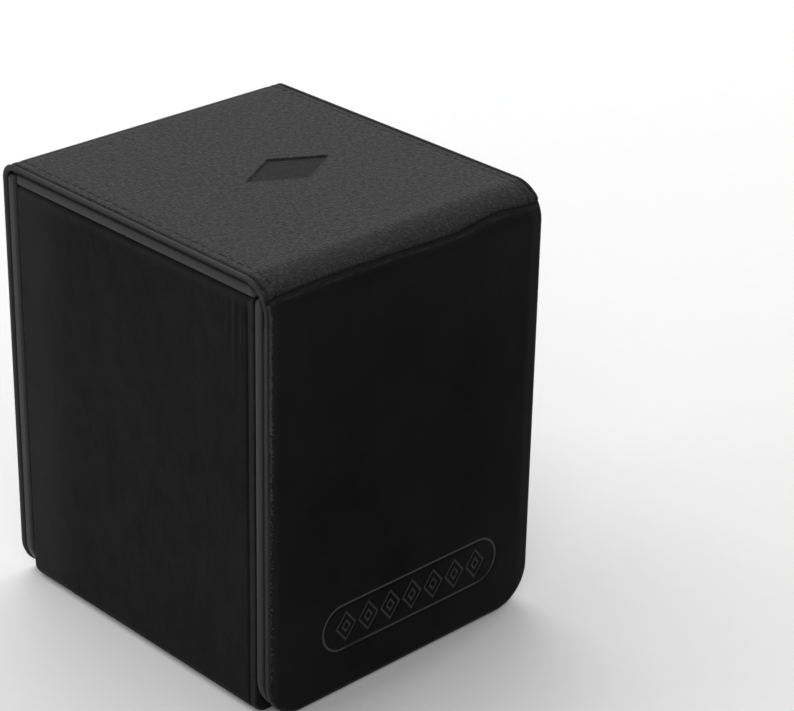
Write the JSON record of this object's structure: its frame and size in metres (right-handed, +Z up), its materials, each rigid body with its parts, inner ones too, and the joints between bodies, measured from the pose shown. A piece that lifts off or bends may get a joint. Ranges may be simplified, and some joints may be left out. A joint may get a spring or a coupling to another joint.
{
  "type": "card deck box",
  "caption": "Upright box for a deck of sleeved trading cards, with a fold-over lid and front flap, textured wrap on top and napped fabric sides.",
  "frame": {"origin": "middle of the closed box's outline, on the plane that its base rests on", "axes": "+Z up, the front flap faces -Y, the lid's spine is at +Y, the box's width lies along X"},
  "size_m": [0.084, 0.094, 0.11],
  "materials": {
    "napped_fabric": "short dense nap, matt",
    "flap_nap": "short dense nap, very dark, matt",
    "leatherette": "fine woven grain, satin",
    "cover_lining": "smooth coated lining, satin",
    "cavity_lining": "fine flock, matt",
    "greyboard": "plain, matt",
    "magnet": "nickel plated, smooth"
  },
  "bodies": {
    "tub": {"tub_side_wrap": "napped_fabric", "tub_front_wrap": "napped_fabric", "floor_board": "greyboard", "left_wall_board": "greyboard", "right_wall_board": "greyboard", "front_wall_board": "greyboard", "back_wall_board": "greyboard", "left_liner": "cavity_lining", "right_liner": "cavity_lining", "front_liner": "cavity_lining", "back_liner": "cavity_lining", "floor_liner": "cavity_lining", "tub_magnets": "magnet", "back_inner_board": "greyboard", "back_lining": "cover_lining", "back_outer_board": "greyboard", "back_wrap": "leatherette", "spine_wrap": "leatherette", "spine_lining": "cover_lining"},
    "lid": {"lid_wrap": "leatherette", "lid_outer_board": "greyboard", "lid_inner_board": "greyboard", "lid_lining": "cover_lining", "fold_wrap": "leatherette", "fold_lining": "cover_lining"},
    "flap": {"flap_wrap": "flap_nap", "flap_outer_board": "greyboard", "flap_inner_board": "greyboard", "flap_lining": "cover_lining", "flap_magnets": "magnet"}
  },
  "joints": [
    {"name": "lid_hinge", "type": "hinge", "parent": "tub", "child": "lid", "pos_m": [0, 0.04618, 0.10919], "axis": [-1, 0, 0], "range_deg": [0, 175], "deforming": ["spine_wrap", "spine_lining"]},
    {"name": "flap_fold", "type": "hinge", "parent": "lid", "child": "flap", "pos_m": [0, -0.04518, 0.10818], "axis": [-1, 0, 0], "range_deg": [0, 100], "deforming": ["fold_wrap", "fold_lining"]}
  ]
}
